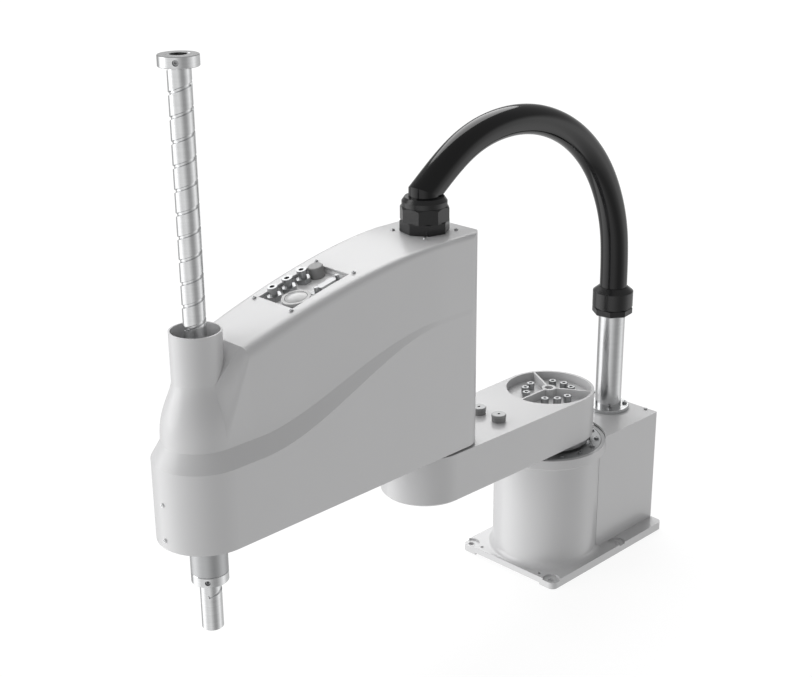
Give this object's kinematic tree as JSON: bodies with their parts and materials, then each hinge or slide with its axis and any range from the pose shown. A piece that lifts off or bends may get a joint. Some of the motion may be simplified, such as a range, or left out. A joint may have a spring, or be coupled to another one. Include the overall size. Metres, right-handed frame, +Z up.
{
  "type": "scara robot",
  "caption": "SCARA robot arm: bolted base and column, two level arms, hollow ball screw tool shaft, cable hose from a rear standpipe.",
  "frame": {"origin": "axis of joint 1 at the underside of the base plate", "axes": "+X forward along the two arms in line, +Y to the robot's left, +Z up along the joint axes"},
  "size_m": [0.8492, 0.1704, 0.791],
  "materials": {
    "cast_paint": "smooth light grey enamel over an aluminium casting",
    "cover_shell": "moulded cover, light grey satin",
    "sheet_paint": "light grey powder coat on folded sheet",
    "bare_casting": "bare fettled aluminium casting",
    "panel_paint": "light grey painted tray",
    "dark_plate": "dark grey painted plate",
    "turned_metal": "turned aluminium",
    "steel": "machined steel",
    "bright_screw": "bright plated screws",
    "ground_steel": "ground and polished bearing steel",
    "pipe": "brushed stainless tube",
    "motor_black": "black coated motor body",
    "black_plastic": "moulded black nylon",
    "hose": "smooth glossy black conduit",
    "rubber": "black rubber buffer",
    "belt": "black toothed belt",
    "fitting": "nickel plated push-in fitting",
    "button_rim": "light grey moulded rim",
    "button_dome": "white domed push button"
  },
  "bodies": {
    "base": {"base_casting": "cast_paint", "j1_ring_plate": "turned_metal", "j1_ring_screws": "bright_screw", "j1_reducer": "steel", "j1_motor": "motor_black", "rear_housing": "sheet_paint", "housing_screws": "bright_screw", "rear_connector_plate": "dark_plate", "rear_air_fittings": "fitting", "rear_sockets": "black_plastic", "standpipe": "pipe", "standpipe_screws": "bright_screw", "lower_gland_ring": "black_plastic", "lower_gland_nut": "black_plastic", "hose_lower": "hose"},
    "arm_1": {"arm_1_casting": "cast_paint", "j1_output_flange": "turned_metal", "j1_output_screws": "bright_screw", "stop_rings": "rubber", "stop_screws": "bright_screw", "j2_output_flange": "turned_metal", "hose_boot": "hose", "hose_upper": "hose"},
    "arm_2": {"arm_2_frame": "bare_casting", "cover": "cover_shell", "cover_screws": "bright_screw", "gland_screws": "bright_screw", "upper_gland_ring": "black_plastic", "upper_gland_nut": "black_plastic", "j2_reducer": "steel", "j2_motor": "motor_black", "panel_tray": "panel_paint", "panel_screws": "bright_screw", "panel_fittings": "fitting", "button_rim": "button_rim", "panel_cap": "button_rim", "panel_socket": "steel", "quill_housing": "turned_metal", "quill_screws": "bright_screw", "quill_bearings": "steel", "screw_nut_bearing": "steel", "r_motor": "motor_black", "r_belt": "belt", "z_motor": "motor_black", "z_belt": "belt"},
    "j1_rotor": {"j1_wave_generator": "steel"},
    "j2_rotor": {"j2_wave_generator": "steel"},
    "spline": {"spline_nut": "steel", "spline_pulley": "turned_metal"},
    "shaft": {"tool_shaft": "ground_steel", "stop_collars": "ground_steel", "collar_screws": "bright_screw"},
    "screw": {"screw_nut": "steel", "screw_pulley": "turned_metal"},
    "z_pulley": {"z_motor_pulley": "steel"},
    "r_pulley": {"r_motor_pulley": "steel"},
    "button": {"brake_button": "button_dome"}
  },
  "joints": [
    {"name": "j1_turn", "type": "hinge", "parent": "base", "child": "arm_1", "pos_m": [0, 0, 0.18], "axis": [0, 0, 1], "range_deg": [-120, 120], "deforming": ["hose_lower"]},
    {"name": "j1_input", "type": "hinge", "parent": "base", "child": "j1_rotor", "pos_m": [0, 0, 0.16], "axis": [0, 0, 1], "range_deg": [-9700, 9700]},
    {"name": "j2_turn", "type": "hinge", "parent": "arm_1", "child": "arm_2", "pos_m": [0.25, 0, 0.262], "axis": [0, 0, 1], "range_deg": [-120, 120]},
    {"name": "j2_input", "type": "hinge", "parent": "arm_2", "child": "j2_rotor", "pos_m": [0.25, 0, 0.28], "axis": [0, 0, 1], "range_deg": [-6100, 6100]},
    {"name": "tool_turn", "type": "hinge", "parent": "arm_2", "child": "spline", "pos_m": [0.6, 0, 0.25], "axis": [0, 0, 1], "range_deg": [-360, 360]},
    {"name": "tool_lift", "type": "slide", "parent": "spline", "child": "shaft", "axis": [0, 0, 1], "range_m": [-0.3, 0]},
    {"name": "screw_spin", "type": "hinge", "parent": "spline", "child": "screw", "pos_m": [0.6, 0, 0.4], "axis": [0, 0, 1], "range_deg": [-30, 4350]},
    {"name": "z_motor_spin", "type": "hinge", "parent": "arm_2", "child": "z_pulley", "pos_m": [0.503, 0, 0.4], "axis": [0, 0, 1], "range_deg": [-60, 8700]},
    {"name": "r_motor_spin", "type": "hinge", "parent": "arm_2", "child": "r_pulley", "pos_m": [0.43, 0, 0.289], "axis": [0, 0, 1], "range_deg": [-730, 730]},
    {"name": "brake_press", "type": "slide", "parent": "arm_2", "child": "button", "axis": [0.225, 0, 0.9744], "range_m": [-0.002, 0], "stiffness_N_per_m": 600, "springref_m": 0.001}
  ],
  "couplings": [
    {"joint": "j1_input", "follows": "j1_turn", "ratio": -80},
    {"joint": "j2_input", "follows": "j2_turn", "ratio": 50},
    {"joint": "screw_spin", "follows": "tool_lift", "rad_per_m": -251.33},
    {"joint": "z_motor_spin", "follows": "tool_lift", "rad_per_m": -502.65},
    {"joint": "r_motor_spin", "follows": "tool_turn", "ratio": 2}
  ]
}
